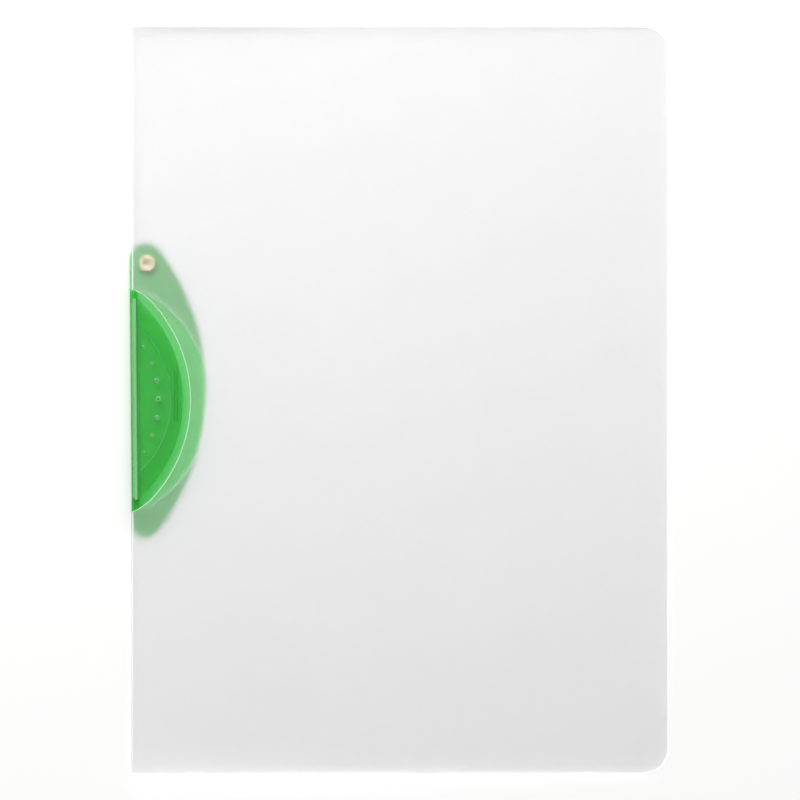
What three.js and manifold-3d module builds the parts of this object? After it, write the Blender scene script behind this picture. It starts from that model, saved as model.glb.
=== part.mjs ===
// Clip folder for loose A4 sheets. One sheet of frosted polypropylene is folded round a narrow
// spine, and half moons are cut out of both covers and through the spine. A moulded clip of
// translucent plastic reaches through that opening: its large lower jaw lies behind the back
// cover, its small upper jaw lies inside, and it swings out of the spine about a brass eyelet.
//
// The folder lies flat and closed. X runs across the page away from the spine, Y runs up the page
// and Z is up. Sizes are in millimetres, from the outermost line of the spine (x = 0), half way up
// the page (y = 0) and the table (z = 0).

import * as THREE from "three";
import { mergeVertices } from "three/addons/utils/BufferGeometryUtils.js";
import Module from "manifold-3d";

// The folded sheet.
const PAGE_HEIGHT = 310;
const PAGE_WIDTH = 223;
const SHEET = 0.45;
const CORNER_RADIUS = 10;
const FRONT_SHORTER = 0.5; // the front cover stops this far inside the back cover
const SPINE_BULGE = 0.66; // how far the rounded spine stands out past its two creases
const CREASE_GAP = 0.3; // width of the scored line that the front cover turns on
const SAG_START = 38; // from here the back cover bends down from the clip to the table
const SAG_END = 78;

// The half moons: a wide arc, with a tighter one at each tip where it meets the spine.
const MOON_MIDDLE = -0.1; // height of their middle on the page
const MOON_HALF = 46.4; // half of the opening through the spine
const FRONT_MOON_REACH = 24.45;
const FRONT_MOON_FLARE = 1.93; // how far past its tip the wide arc alone would meet the spine
const FRONT_MOON_TIP_RADIUS = 26;
const BACK_MOON_REACH = 32.4;
const BACK_MOON_FLARE = 0.95;
const BACK_MOON_TIP_RADIUS = 24;

// The clip, measured from its pivot.
const PIVOT_X = 6.5;
const PIVOT_Y = 57;
const REST_TILT = THREE.MathUtils.degToRad(0.5); // it rests turned in by this much
const JAW = 1.1; // wall of the whole moulding
const JAW_EDGE_ROUND = 0.25;
const CLIP_TOP = 4.2; // height of the bend over the table
const BACK_X = 7.4; // from the pivot to the straight back edge
const EAR_TOP = 8.1; // from the pivot to the top of the lower jaw
const EAR_RADIUS = 6.8;
const TAIL_END = 113.8; // from the pivot down to the end of the lower jaw
const TAIL_RADIUS = 5.7;
const BOW_RADIUS = 96; // the long curved edge of the lower jaw
const BEND_RADIUS = 2; // outside of the bend that joins the two jaws
const BEND_WIDTH = 3.2; // the bend with the solid cheeks at its two ends
const CHEEK_DROP = 0.8; // how much lower than the bend the cheeks are
const CHEEK_SHORT = 0.5; // how far the lower cheek stops short of the end of the opening
const CHEEK_SLANT = 1; // how much sooner the lower cheek ends on its inner side
const CHEEK_WALL = 0.8; // how far the cheeks reach in under the bend
const UPPER_MIDDLE = 56.5; // from the pivot down to the middle of the upper jaw
const UPPER_REACH = 14.3; // from the pivot to the free edge of the upper jaw
const UPPER_RADIUS = 56.4;
const PANEL_REACH = 9.5; // sunk panel in the upper jaw
const PANEL_RADIUS = 40.3;
const PANEL_DEPTH = 0.2;
const PIMPLE_REACH = 4.2; // row of domed grip pimples on the panel
const PIMPLE_ROW_RADIUS = 42.2;
const PIMPLE_PITCH = THREE.MathUtils.degToRad(10.4);
const PIMPLE_RADII = [1.25, 1.0, 0.8, 0.6]; // the middle one, and the others outwards
const PIMPLE_RISE = 0.3; // height of a dome as a share of its radius
const RIB_X = 11.4; // clamping rib under the free edge, from the pivot
const RIB_MIDDLE = 54.2; // from the pivot down to its middle
const RIB_LENGTH = 23;
const RIB_WIDTH = 1.4;
const RIB_HEIGHT = 0.6;

// The eyelet.
const EYELET_BORE = 1.75; // radii
const EYELET_BARREL = 2.05;
const EYELET_FLANGE = 3.3;
const EYELET_ROLL = 3.0;
const FLANGE_HEIGHT = 0.4;
const ROLL_HEIGHT = 0.4;
const ROLL_RECESS = 0.6; // depth of the recess under the ear that takes the rolled end

// Clearances.
const RUNNING_GAP = 0.3; // between what turns and what stays
const SEAT_GAP = 0.05; // between the eyelet and the sheet it is set in
const ROLL_LIFT = 0.05; // from the table to the rolled end of the eyelet

// Facets.
const ARC_STEPS = 14;
const ROUND_STEPS = 40;
const PIMPLE_STEPS = 14;

// Heights and places that follow from those sizes.
const BACK_UNDERSIDE = JAW + RUNNING_GAP;
const BACK_TOP = BACK_UNDERSIDE + SHEET;
const HINGE_X = SPINE_BULGE;
const HINGE_Z = CLIP_TOP + RUNNING_GAP; // so that the opened cover clears the clip swung out
const BEND_X = BEND_RADIUS - BACK_X;
const BEND_Z = CLIP_TOP - BEND_RADIUS;
const CHEEK_X = BEND_WIDTH - BACK_X;
const CHEEK_END = PIVOT_Y - MOON_MIDDLE + MOON_HALF - CHEEK_SHORT; // from the pivot
const EAR_RECESS_RADIUS = EYELET_ROLL + RUNNING_GAP;
const ROLL_TOP = ROLL_LIFT + ROLL_HEIGHT;
const OVER = 2; // how far cutters reach past what they cut

const wasm = await Module();
wasm.setup();

// A closed three.js geometry as a solid that can be joined and cut.
function solid(geometry) {
  const bare = geometry.clone();
  bare.deleteAttribute("normal");
  bare.deleteAttribute("uv");
  const merged = mergeVertices(bare, 1e-5);
  return new wasm.Manifold(
    new wasm.Mesh({
      numProp: 3,
      vertProperties: new Float32Array(merged.attributes.position.array),
      triVerts: new Uint32Array(merged.index.array),
    }),
  );
}

function mesh(name, body, material) {
  const { vertProperties, triVerts } = body.getMesh();
  const geometry = new THREE.BufferGeometry();
  geometry.setAttribute("position", new THREE.BufferAttribute(vertProperties, 3));
  geometry.setIndex(new THREE.BufferAttribute(triVerts, 1));
  geometry.computeVertexNormals();
  const part = new THREE.Mesh(geometry, material);
  part.name = name;
  return part;
}

// A plan outline, raised from one height to another.
function upright(shape, bottom, top) {
  const geometry = new THREE.ExtrudeGeometry(shape, {
    depth: top - bottom,
    bevelEnabled: false,
    curveSegments: ARC_STEPS,
  });
  return geometry.translate(0, 0, bottom);
}

// A section drawn in X and Z, drawn out along Y from one place to another.
function along(shape, from, to) {
  const geometry = new THREE.ExtrudeGeometry(shape, {
    depth: to - from,
    bevelEnabled: false,
    curveSegments: ARC_STEPS,
  });
  return geometry.rotateX(Math.PI / 2).translate(0, to, 0);
}

function cylinder(radius, bottom, top, x = 0, y = 0) {
  const geometry = new THREE.CylinderGeometry(radius, radius, top - bottom, ROUND_STEPS);
  return geometry.rotateX(Math.PI / 2).translate(x, y, (bottom + top) / 2);
}

// Where two circles cross, on the right of the way from the first centre to the second.
function crossing(first, firstRadius, second, secondRadius) {
  const way = second.clone().sub(first);
  const distance = way.length();
  const ahead = (firstRadius ** 2 - secondRadius ** 2 + distance ** 2) / (2 * distance);
  const aside = Math.sqrt(firstRadius ** 2 - ahead ** 2);
  const forward = way.normalize();
  const right = new THREE.Vector2(forward.y, -forward.x);
  return first.clone().addScaledVector(forward, ahead).addScaledVector(right, aside);
}

const bearing = (from, to) => Math.atan2(to.y - from.y, to.x - from.x);

// Folded sheet.

function halfMoon(reach, flare, tipRadius) {
  const radius = (reach ** 2 + (MOON_HALF + flare) ** 2) / (2 * reach);
  const main = new THREE.Vector2(reach - radius, MOON_MIDDLE);
  const tip = new THREE.Vector2(0, MOON_MIDDLE + MOON_HALF);
  const blend = crossing(main, radius - tipRadius, tip, tipRadius);
  const low = 2 * MOON_MIDDLE - blend.y;
  const turn = bearing(main, blend);
  const end = bearing(blend, tip);
  const shape = new THREE.Shape();
  shape.moveTo(-OVER, MOON_MIDDLE - MOON_HALF);
  shape.lineTo(0, MOON_MIDDLE - MOON_HALF);
  shape.absarc(blend.x, low, tipRadius, -end, -turn, false);
  shape.absarc(main.x, main.y, radius, -turn, turn, false);
  shape.absarc(blend.x, blend.y, tipRadius, turn, end, false);
  shape.lineTo(-OVER, MOON_MIDDLE + MOON_HALF);
  shape.closePath();
  return shape;
}

// Page outline: square corners at the spine, round ones at the free edge.
function pageOutline(left, right) {
  const half = PAGE_HEIGHT / 2;
  const corner = right - CORNER_RADIUS;
  const shape = new THREE.Shape();
  shape.moveTo(left, -half);
  shape.lineTo(corner, -half);
  shape.absarc(corner, CORNER_RADIUS - half, CORNER_RADIUS, -Math.PI / 2, 0, false);
  shape.absarc(corner, half - CORNER_RADIUS, CORNER_RADIUS, 0, Math.PI / 2, false);
  shape.lineTo(left, half);
  shape.closePath();
  return shape;
}

// The spine in section is an arc between two creases. It rises from the crease of the back cover
// and ends half a scored line short of the crease that the front cover turns on.
const SPINE_RISE = (HINGE_Z - BACK_UNDERSIDE) / 2;
const SPINE_RADIUS = (SPINE_RISE ** 2 + SPINE_BULGE ** 2) / (2 * SPINE_BULGE);
const SPINE_INNER = SPINE_RADIUS - SHEET;
const SPINE_MIDDLE = BACK_UNDERSIDE + SPINE_RISE;
const OUTER_CREASE = Math.PI + Math.asin(SPINE_RISE / SPINE_RADIUS);
const INNER_CREASE = Math.PI + Math.asin((SPINE_MIDDLE - BACK_TOP) / SPINE_INNER);

function spineSection() {
  const end = HINGE_X - CREASE_GAP / 2 - SPINE_RADIUS;
  const outerEnd = Math.acos(end / SPINE_RADIUS);
  const innerEnd = Math.acos(end / SPINE_INNER);
  const shape = new THREE.Shape();
  shape.absarc(SPINE_RADIUS, SPINE_MIDDLE, SPINE_INNER, INNER_CREASE, innerEnd, true);
  shape.absarc(SPINE_RADIUS, SPINE_MIDDLE, SPINE_RADIUS, outerEnd, OUTER_CREASE, false);
  shape.closePath();
  return shape;
}

// The back cover in section: flat on the table, and raised over the lower jaw beside the spine.
function coverSection() {
  const innerCrease = SPINE_RADIUS + SPINE_INNER * Math.cos(INNER_CREASE);
  const ease = (SAG_END - SAG_START) / 2;
  const shape = new THREE.Shape();
  shape.moveTo(PAGE_WIDTH, 0);
  shape.lineTo(PAGE_WIDTH, SHEET);
  shape.lineTo(SAG_END, SHEET);
  shape.bezierCurveTo(SAG_END - ease, SHEET, SAG_START + ease, BACK_TOP, SAG_START, BACK_TOP);
  shape.lineTo(innerCrease, BACK_TOP);
  shape.lineTo(HINGE_X, BACK_UNDERSIDE);
  shape.lineTo(SAG_START, BACK_UNDERSIDE);
  shape.bezierCurveTo(SAG_START + ease, BACK_UNDERSIDE, SAG_END - ease, 0, SAG_END, 0);
  shape.closePath();
  return shape;
}

function backMoon() {
  const shape = halfMoon(BACK_MOON_REACH, BACK_MOON_FLARE, BACK_MOON_TIP_RADIUS);
  return solid(upright(shape, -OVER, HINGE_Z + OVER));
}

function backCover(material) {
  const half = PAGE_HEIGHT / 2;
  const sheet = solid(along(coverSection(), -half, half));
  const outline = solid(upright(pageOutline(-OVER, PAGE_WIDTH), -OVER, HINGE_Z + OVER));
  const holeRadius = EYELET_BARREL + SEAT_GAP;
  const hole = solid(cylinder(holeRadius, 0, HINGE_Z, PIVOT_X, PIVOT_Y));
  const cover = sheet.intersect(outline).subtract(backMoon()).subtract(hole);
  return mesh("back_cover", cover, material);
}

// The opening parts the spine in two.
function spine(name, from, to, material) {
  const strip = solid(along(spineSection(), from, to));
  return mesh(name, strip.subtract(backMoon()), material);
}

// The front cover is flat. It slopes from the spine down to the free edge of the back cover.
function frontCover(material) {
  const width = PAGE_WIDTH - FRONT_SHORTER - HINGE_X;
  const slope = Math.asin((HINGE_Z - 2 * SHEET - RUNNING_GAP) / width);
  const sheet = solid(upright(pageOutline(CREASE_GAP / 2, width), -SHEET, 0));
  const moonShape = halfMoon(FRONT_MOON_REACH, FRONT_MOON_FLARE, FRONT_MOON_TIP_RADIUS);
  const moon = solid(upright(moonShape, -OVER, OVER).translate(-HINGE_X, 0, 0));
  const cover = mesh("front_cover", sheet.subtract(moon), material);
  cover.position.set(HINGE_X, 0, HINGE_Z);
  cover.rotation.y = slope;
  return cover;
}

// Clip. Everything here is measured from the pivot.

function lowerJawOutline() {
  const ear = new THREE.Vector2(EAR_RADIUS - BACK_X, EAR_TOP - EAR_RADIUS);
  const tail = new THREE.Vector2(TAIL_RADIUS - BACK_X, TAIL_RADIUS - TAIL_END);
  const bow = crossing(ear, BOW_RADIUS - EAR_RADIUS, tail, BOW_RADIUS - TAIL_RADIUS);
  const tailTurn = bearing(bow, tail);
  const earTurn = bearing(bow, ear);
  const shape = new THREE.Shape();
  shape.moveTo(-BACK_X, tail.y);
  shape.absarc(tail.x, tail.y, TAIL_RADIUS, -Math.PI, tailTurn, false);
  shape.absarc(bow.x, bow.y, BOW_RADIUS, tailTurn, earTurn, false);
  shape.absarc(ear.x, ear.y, EAR_RADIUS, earTurn, Math.PI, false);
  shape.closePath();
  return shape;
}

function lowerJaw() {
  const plate = new THREE.ExtrudeGeometry(lowerJawOutline(), {
    depth: JAW - 2 * JAW_EDGE_ROUND,
    bevelThickness: JAW_EDGE_ROUND,
    bevelSize: JAW_EDGE_ROUND,
    bevelOffset: -JAW_EDGE_ROUND,
    bevelSegments: 2,
    curveSegments: ARC_STEPS,
  });
  const hole = solid(cylinder(EYELET_BARREL + RUNNING_GAP, -OVER, JAW + OVER));
  const recess = solid(cylinder(EAR_RECESS_RADIUS, -OVER, ROLL_RECESS));
  return solid(plate.translate(0, 0, JAW_EDGE_ROUND)).subtract(hole).subtract(recess);
}

// The upper jaw falls from the bend at the angle that puts the foot of its rib just over the
// lower jaw.
function jawSlope() {
  const ribX = RIB_X - BEND_X;
  const ribZ = JAW + RUNNING_GAP + RIB_HEIGHT - BEND_Z;
  const inner = BEND_RADIUS - JAW;
  return Math.asin(inner / Math.hypot(ribX, ribZ)) - Math.atan2(ribZ, ribX);
}

// Web, bend and upper jaw in section, one wall thick.
function bendSection(slope) {
  const inner = BEND_RADIUS - JAW;
  const length = UPPER_REACH - BEND_X + OVER;
  const point = (radius, run) => [
    BEND_X + radius * Math.sin(slope) + run * Math.cos(slope),
    BEND_Z + radius * Math.cos(slope) - run * Math.sin(slope),
  ];
  const shape = new THREE.Shape();
  shape.moveTo(-BACK_X, JAW / 2);
  shape.lineTo(JAW - BACK_X, JAW / 2);
  shape.absarc(BEND_X, BEND_Z, inner, Math.PI, Math.PI / 2 - slope, true);
  shape.lineTo(...point(inner, length));
  shape.lineTo(...point(BEND_RADIUS, length));
  shape.absarc(BEND_X, BEND_Z, BEND_RADIUS, Math.PI / 2 - slope, Math.PI, false);
  shape.closePath();
  return shape;
}

// The upper jaw is as long as the bend: its arc ends where the bend does.
const UPPER_CENTRE = UPPER_REACH - UPPER_RADIUS;
const UPPER_TURN = Math.acos((CHEEK_X - UPPER_CENTRE) / UPPER_RADIUS);
const UPPER_HALF = UPPER_RADIUS * Math.sin(UPPER_TURN);

function upperJawOutline() {
  const shape = new THREE.Shape();
  shape.moveTo(-BACK_X - OVER, -UPPER_HALF);
  shape.absarc(UPPER_CENTRE, 0, UPPER_RADIUS, -UPPER_TURN, UPPER_TURN, false);
  shape.lineTo(-BACK_X - OVER, UPPER_HALF);
  shape.closePath();
  return shape;
}

// Solid cheeks close the bend at both ends, a little lower than it.
function cheekSection() {
  const top = CLIP_TOP - CHEEK_DROP;
  const round = BEND_RADIUS / 2;
  const shape = new THREE.Shape();
  shape.moveTo(-BACK_X, JAW / 2);
  shape.lineTo(CHEEK_X, JAW / 2);
  shape.lineTo(CHEEK_X, top);
  shape.lineTo(round - BACK_X, top);
  shape.absarc(round - BACK_X, top - round, round, Math.PI / 2, Math.PI, false);
  shape.closePath();
  return shape;
}

// The upper end of the clip is rounded about the pivot, so that it passes the end of the spine.
function endTrim() {
  const spineEnd = new THREE.Vector2(0, MOON_MIDDLE + MOON_HALF);
  const reach = spineEnd.distanceTo(new THREE.Vector2(PIVOT_X, PIVOT_Y)) + RUNNING_GAP;
  return solid(cylinder(reach, JAW, CLIP_TOP + OVER));
}

// The lower end is cut aslant, so that it clears the tip of the half moon in the back cover.
function tailTrim() {
  const shape = new THREE.Shape();
  shape.moveTo(-BACK_X, -CHEEK_END);
  shape.lineTo(-BACK_X, -CHEEK_END - OVER);
  shape.lineTo(CHEEK_X + OVER, -CHEEK_END - OVER);
  shape.lineTo(CHEEK_X + OVER, CHEEK_SLANT - CHEEK_END);
  shape.lineTo(CHEEK_X, CHEEK_SLANT - CHEEK_END);
  shape.closePath();
  return solid(upright(shape, JAW, CLIP_TOP + OVER));
}

function panelOutline() {
  const centre = PANEL_REACH - PANEL_RADIUS;
  const left = CHEEK_X - BEND_RADIUS / 2;
  const turn = Math.acos((left - centre) / PANEL_RADIUS);
  const shape = new THREE.Shape();
  shape.absarc(centre, 0, PANEL_RADIUS, -turn, turn, false);
  shape.closePath();
  return shape;
}

function pimple(radius) {
  const rise = radius * PIMPLE_RISE;
  const ball = (radius ** 2 + rise ** 2) / (2 * rise);
  const profile = [new THREE.Vector2(0, -JAW / 2), new THREE.Vector2(radius, -JAW / 2)];
  const steps = 4;
  const opening = Math.asin(radius / ball);
  for (let step = 0; step < steps; step += 1) {
    const angle = opening * (1 - step / steps);
    profile.push(new THREE.Vector2(ball * Math.sin(angle), rise - ball * (1 - Math.cos(angle))));
  }
  profile.push(new THREE.Vector2(0, rise));
  return new THREE.LatheGeometry(profile, PIMPLE_STEPS).rotateX(Math.PI / 2);
}

function ribSection() {
  const half = RIB_WIDTH / 2;
  const round = RIB_HEIGHT / 2;
  const shape = new THREE.Shape();
  shape.moveTo(-half, JAW / 2);
  shape.lineTo(-half, round - RIB_HEIGHT);
  shape.absarc(round - half, round - RIB_HEIGHT, round, Math.PI, Math.PI * 1.5, false);
  shape.absarc(half - round, round - RIB_HEIGHT, round, Math.PI * 1.5, Math.PI * 2, false);
  shape.lineTo(half, JAW / 2);
  shape.closePath();
  return shape;
}

function swingClip(material) {
  const slope = jawSlope();
  const onJaw = (geometry, x, y, height) =>
    solid(geometry.translate(x - BEND_X, y, height).rotateY(slope).translate(BEND_X, 0, BEND_Z));

  const outline = upright(upperJawOutline(), 0, CLIP_TOP + OVER).translate(0, -UPPER_MIDDLE, 0);
  const upper = solid(along(bendSection(slope), -CHEEK_END, 0)).intersect(solid(outline));
  const cheekStart = UPPER_HALF - CHEEK_WALL;
  const lowCheek = solid(along(cheekSection(), -CHEEK_END, -UPPER_MIDDLE - cheekStart));
  const highCheek = solid(along(cheekSection(), cheekStart - UPPER_MIDDLE, 0));

  const panelFloor = BEND_RADIUS - PANEL_DEPTH;
  const panel = onJaw(upright(panelOutline(), 0, OVER), 0, -UPPER_MIDDLE, panelFloor);
  const rib = onJaw(
    along(ribSection(), -RIB_LENGTH / 2, RIB_LENGTH / 2),
    RIB_X,
    -RIB_MIDDLE,
    BEND_RADIUS - JAW,
  );

  let clip = upper.subtract(panel).add(rib).add(lowCheek).add(highCheek);
  for (let place = 1 - PIMPLE_RADII.length; place < PIMPLE_RADII.length; place += 1) {
    const turn = place * PIMPLE_PITCH;
    const x = PIMPLE_REACH - PIMPLE_ROW_RADIUS * (1 - Math.cos(turn));
    const y = PIMPLE_ROW_RADIUS * Math.sin(turn) - UPPER_MIDDLE;
    clip = clip.add(onJaw(pimple(PIMPLE_RADII[Math.abs(place)]), x, y, panelFloor));
  }
  clip = clip.subtract(endTrim()).subtract(tailTrim()).add(lowerJaw());

  const part = mesh("swing_clip", clip, material);
  part.position.set(PIVOT_X, PIVOT_Y, 0);
  part.rotation.z = REST_TILT;
  return part;
}

// Eyelet: a short tube set from the inside of the folder. Its flange lies on the back cover, and
// its other end is rolled over inside the recess under the ear of the clip.
function pivotEyelet(material) {
  const seat = BACK_TOP + SEAT_GAP;
  const crown = seat + FLANGE_HEIGHT;
  const profile = [
    [EYELET_BORE, ROLL_TOP],
    [EYELET_BORE, crown - FLANGE_HEIGHT / 2],
    [EYELET_BARREL, crown - FLANGE_HEIGHT / 8],
    [EYELET_BARREL + FLANGE_HEIGHT, crown],
    [EYELET_FLANGE - FLANGE_HEIGHT, crown - FLANGE_HEIGHT / 8],
    [EYELET_FLANGE, crown - FLANGE_HEIGHT / 2],
    [EYELET_FLANGE, seat],
    [EYELET_BARREL, seat],
    [EYELET_BARREL, ROLL_TOP],
    [EYELET_ROLL, ROLL_TOP],
    [EYELET_ROLL, ROLL_LIFT + ROLL_HEIGHT / 2],
    [EYELET_ROLL - ROLL_HEIGHT / 2, ROLL_LIFT],
    [EYELET_BARREL, ROLL_LIFT],
  ];
  const points = profile.map(([radius, height]) => new THREE.Vector2(radius, height));
  points.push(points[0].clone());
  const tube = new THREE.LatheGeometry(points.reverse(), ROUND_STEPS).rotateX(Math.PI / 2);
  const eyelet = mesh("pivot_eyelet", solid(tube), material);
  eyelet.position.set(PIVOT_X, PIVOT_Y, 0);
  return eyelet;
}

const frosted = (color) =>
  new THREE.MeshStandardMaterial({ color, roughness: 0.55, transparent: true, opacity: 0.8 });
const green = new THREE.MeshStandardMaterial({
  color: 0x2fa84f,
  roughness: 0.3,
  transparent: true,
  opacity: 0.85,
});
const brass = new THREE.MeshStandardMaterial({ color: 0xd8c483, roughness: 0.35, metalness: 1 });

const folder = new THREE.Group();
folder.add(
  backCover(frosted(0xe4e6e8)),
  spine("upper_spine", MOON_MIDDLE, PAGE_HEIGHT / 2, frosted(0xe4e6e8)),
  spine("lower_spine", -PAGE_HEIGHT / 2, MOON_MIDDLE, frosted(0xe4e6e8)),
  frontCover(frosted(0xe8e9ea)),
  swingClip(green),
  pivotEyelet(brass),
);

// The origin is under the middle of the closed folder, on the table.
folder.updateMatrixWorld(true);
const box = new THREE.Box3().setFromObject(folder);
const middle = box.getCenter(new THREE.Vector3());
folder.position.set(-middle.x, -middle.y, -box.min.z);

export default folder;
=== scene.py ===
# %% [markdown]
# A clip folder for loose pages: one sheet of frosted polypropylene folded round a narrow spine,
# and a clip of green translucent plastic that swings out of the spine about a brass eyelet.
#
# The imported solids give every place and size. This script dresses them: it builds the sheet, the
# clip and the eyelet again with rounded edges and fine curves, and gives each its own finish.

# %% Load the fixed frame
import math

import bmesh
import bpy
from mathutils import Matrix, Vector


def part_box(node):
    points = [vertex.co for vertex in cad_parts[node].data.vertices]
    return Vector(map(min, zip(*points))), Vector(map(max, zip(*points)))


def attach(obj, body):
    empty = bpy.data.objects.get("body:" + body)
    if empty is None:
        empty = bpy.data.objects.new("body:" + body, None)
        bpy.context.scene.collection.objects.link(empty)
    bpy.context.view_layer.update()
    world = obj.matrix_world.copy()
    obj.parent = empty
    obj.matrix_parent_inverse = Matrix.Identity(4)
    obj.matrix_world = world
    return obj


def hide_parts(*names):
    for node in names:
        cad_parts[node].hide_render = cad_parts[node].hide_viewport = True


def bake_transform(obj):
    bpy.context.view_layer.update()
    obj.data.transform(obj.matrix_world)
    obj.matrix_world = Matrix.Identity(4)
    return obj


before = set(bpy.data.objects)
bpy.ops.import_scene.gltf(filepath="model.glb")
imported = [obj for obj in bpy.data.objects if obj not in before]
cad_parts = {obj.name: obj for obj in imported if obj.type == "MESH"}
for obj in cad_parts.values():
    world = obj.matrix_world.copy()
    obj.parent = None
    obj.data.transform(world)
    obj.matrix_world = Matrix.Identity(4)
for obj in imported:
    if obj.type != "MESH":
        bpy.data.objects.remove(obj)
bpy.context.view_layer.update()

MM = 0.001
print("nodes:", ", ".join(sorted(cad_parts)))


# %% [markdown]
# The camera comes first, because everything else is judged through it. A catalogue picture of a
# flat folder is taken from straight above through a long lens, so that the edges stay parallel.
# A very long lens far away does that here, and still works from any other side.

# %% Camera straight above the folder
CAMERA_HEIGHT = 4.0
PICTURE_WIDTH = 0.332  # what the picture takes in at the height of the folder
LOOK_AT = Vector((0.00045, 0.0001, 0.003))

lens = bpy.data.cameras.new("camera")
lens.sensor_width = 36
lens.lens = lens.sensor_width * CAMERA_HEIGHT / PICTURE_WIDTH
lens.clip_end = 100
camera = bpy.data.objects.new("camera", lens)
camera.location = LOOK_AT + Vector((0, 0, CAMERA_HEIGHT))
bpy.context.scene.collection.objects.link(camera)
bpy.context.scene.camera = camera
print(f"camera: {lens.lens:.0f} mm lens, {CAMERA_HEIGHT} m above the folder")


# %% [markdown]
# Shader maths reads best as plain sums. A Wire holds one output of a node, and adding,
# subtracting or multiplying wires adds the Math nodes that do it. Every other node is made by
# one method, which sets the node's settings first and then its sockets.

# %% A wire between nodes
class Wire:
    def __init__(self, tree, socket=None):
        self.tree = tree
        self.socket = socket

    def node(self, kind, settings=None, sockets=None, out=0):
        made = self.tree.nodes.new(kind)
        for name, value in (settings or {}).items():
            setattr(made, name, value)
        for name, value in (sockets or {}).items():
            socket = made.inputs[name]
            if isinstance(value, Wire):
                self.tree.links.new(value.socket, socket)
            else:
                socket.default_value = value
        return Wire(self.tree, made.outputs[out]) if made.outputs else made

    def math(self, operation, first, second=0.0):
        return self.node("ShaderNodeMath", {"operation": operation}, {0: first, 1: second})

    def __add__(self, other):
        return self.math("ADD", self, other)

    def __radd__(self, other):
        return self.math("ADD", other, self)

    def __sub__(self, other):
        return self.math("SUBTRACT", self, other)

    def __rsub__(self, other):
        return self.math("SUBTRACT", other, self)

    def __mul__(self, other):
        return self.math("MULTIPLY", self, other)

    def __rmul__(self, other):
        return self.math("MULTIPLY", other, self)

    def __abs__(self):
        return self.math("ABSOLUTE", self)


def new_material(name):
    material = bpy.data.materials.new(name)
    material.use_nodes = True
    material.node_tree.nodes.clear()
    return material, Wire(material.node_tree)


def finish_material(wire, shader, volume=None):
    sockets = {"Surface": shader}
    if volume:
        sockets["Volume"] = volume
    wire.node("ShaderNodeOutputMaterial", sockets=sockets)


def lamps_pass(wire, shader, tint):
    """Lamps shine through with a tint, while everything that is seen meets the shader."""
    shadow = wire.node("ShaderNodeLightPath", out="Is Shadow Ray")
    clear = wire.node("ShaderNodeBsdfTransparent", sockets={"Color": (*tint, 1)})
    return wire.node("ShaderNodeMixShader", sockets={0: shadow, 1: shader, 2: clear})


def noise(wire, place, scale, detail):
    sockets = {"Vector": place, "Scale": scale, "Detail": detail}
    return wire.node("ShaderNodeTexNoise", sockets=sockets)


def colour_mix(wire, share, first, second):
    settings = {"data_type": "RGBA"}
    first = first if isinstance(first, Wire) else (*first, 1)
    second = second if isinstance(second, Wire) else (*second, 1)
    return wire.node("ShaderNodeMix", settings, {0: share, 6: first, 7: second}, out=2)


def place_object(name, data):
    thing = bpy.data.objects.new(name, data)
    bpy.context.scene.collection.objects.link(thing)
    return thing


def mesh_object(name, bm, *finishes):
    mesh = bpy.data.meshes.new(name)
    bm.to_mesh(mesh)
    bm.free()
    for finish in finishes:
        mesh.materials.append(finish)
    return place_object(name, mesh)


def flat_face(name, corners, height, finish):
    mesh = bpy.data.meshes.new(name)
    mesh.from_pydata([(x, y, height) for x, y in corners], [], [range(len(corners))])
    mesh.materials.append(finish)
    return place_object(name, mesh)


print("wires: sums of sockets make Math nodes")


# %% [markdown]
# The studio is a pale floor under soft light. Catalogue pictures are cut out along the outline,
# so all round the product the floor is pure white. Under the folder the floor has a greyer field:
# a painted shadow for the shade that the folder casts on it. The light falls off a little from the
# top of the page to its foot.

# %% Floor, sky and lamps
FLOOR_DROP = 0.0002  # the floor lies this far under the folder, so that no two faces coincide
PAINTED_SHADOW_INSET = 0.0004  # how far inside the folder's outline the greyer field ends
PAINTED_SHADOW_CORNER = 0.010  # radius of the two free corners, as on the covers
SKY = 0.74  # brightness of the white walls round the table
FLOOR_REACH = 6.0
FLOOR_WHITE = (0.99, 0.99, 0.99)
# the painted shadow: a greyer floor under the folder, for the shade that the folder casts
PAINTED_SHADOW_GREY = (0.75, 0.75, 0.755)
CARD_HEIGHT = 4.3  # a black card hangs over the camera, so that polished faces stay deep in colour
CARD_RADIUS = 1.7
CARD_SIDES = 48
LAMP_PLACE = Vector((-0.25, 0.95, 1.1))
LAMP_AIM = Vector((0, 0.05, 0))
low_corner, high_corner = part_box("back_cover")

material, wire = new_material("floor_paper_painted_shadow")
place = wire.node("ShaderNodeTexCoord", out=3)
spot_x, spot_y = (
    wire.node("ShaderNodeSeparateXYZ", sockets={"Vector": place}, out=axis) for axis in range(2))
square_end = PAINTED_SHADOW_INSET + PAINTED_SHADOW_CORNER
past_x = wire.math("MAXIMUM", spot_x - (high_corner.x - square_end), 0.0)
past_y = wire.math("MAXIMUM", abs(spot_y) - (high_corner.y - square_end), 0.0)
past_corner = wire.math("SQRT", past_x * past_x + past_y * past_y) - PAINTED_SHADOW_CORNER
past_spine = low_corner.x + PAINTED_SHADOW_INSET - spot_x
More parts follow.
